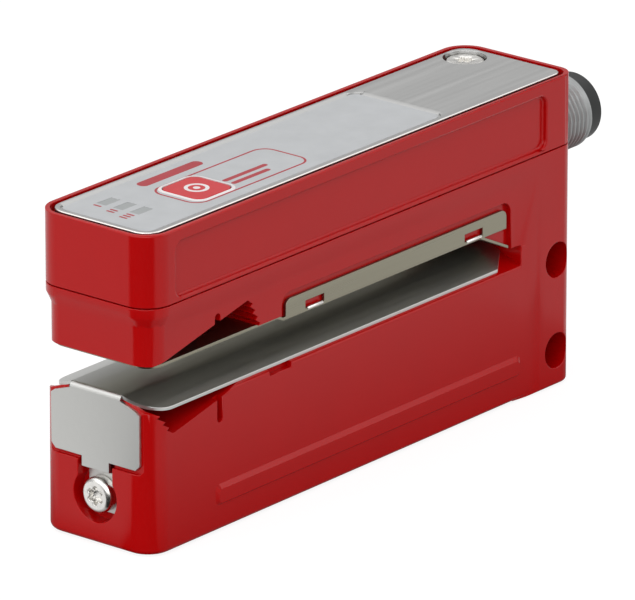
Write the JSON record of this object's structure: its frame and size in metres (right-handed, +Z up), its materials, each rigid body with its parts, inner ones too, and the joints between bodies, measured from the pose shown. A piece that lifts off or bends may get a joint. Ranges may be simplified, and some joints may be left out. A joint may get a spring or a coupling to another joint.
{
  "type": "fork sensor",
  "caption": "Slim fork-shaped ultrasonic sensor with two jaws around a narrow mouth, a steel-lined gap, a key on top and a round threaded connector at the rear.",
  "frame": {"origin": "middle of the whole object, connector included, on its underside", "axes": "+X from the mouth to the connector, +Z up; the sides with the mounting holes face -Y and +Y"},
  "size_m": [0.1146, 0.0226, 0.05],
  "materials": {
    "red_paint": "semi-gloss",
    "steel": "brushed",
    "screw_steel": "bright",
    "label": "matt foil",
    "key_red": "satin",
    "window": "satin",
    "light": "gloss",
    "white_plastic": "matt",
    "dark_plastic": "satin",
    "nickel": "plated",
    "gold": "plated",
    "rubber": "matt",
    "board": "satin",
    "chip": "matt",
    "capacitor": "satin",
    "wire": "satin",
    "ribbon": "satin"
  },
  "bodies": {
    "sensor": {"housing": "red_paint", "top_cover": "red_paint", "cover_gasket": "rubber", "top_plate": "steel", "label_foil": "label", "tact_switch": "dark_plastic", "light_guide": "window", "status_leds": "light", "top_screw": "screw_steel", "lower_liner": "steel", "upper_liner": "steel", "front_screw": "screw_steel", "connector_shell": "nickel", "connector_insert": "dark_plastic", "connector_pins": "gold", "connector_seal": "rubber", "connector_wires": "wire", "main_board": "board", "board_screws": "screw_steel", "processor_chip": "chip", "filter_capacitors": "capacitor", "receiver": "capacitor", "receiver_sleeve": "rubber", "transmitter": "capacitor", "transmitter_sleeve": "rubber", "driver_board": "board", "link_ribbon": "ribbon"},
    "key": {"teach_key": "key_red", "key_plunger": "white_plastic", "switch_plunger": "dark_plastic"}
  },
  "joints": [
    {"name": "key_press", "type": "slide", "parent": "sensor", "child": "key", "axis": [0, 0, -1], "range_m": [0, 0.0003], "stiffness_N_per_m": 1000}
  ]
}
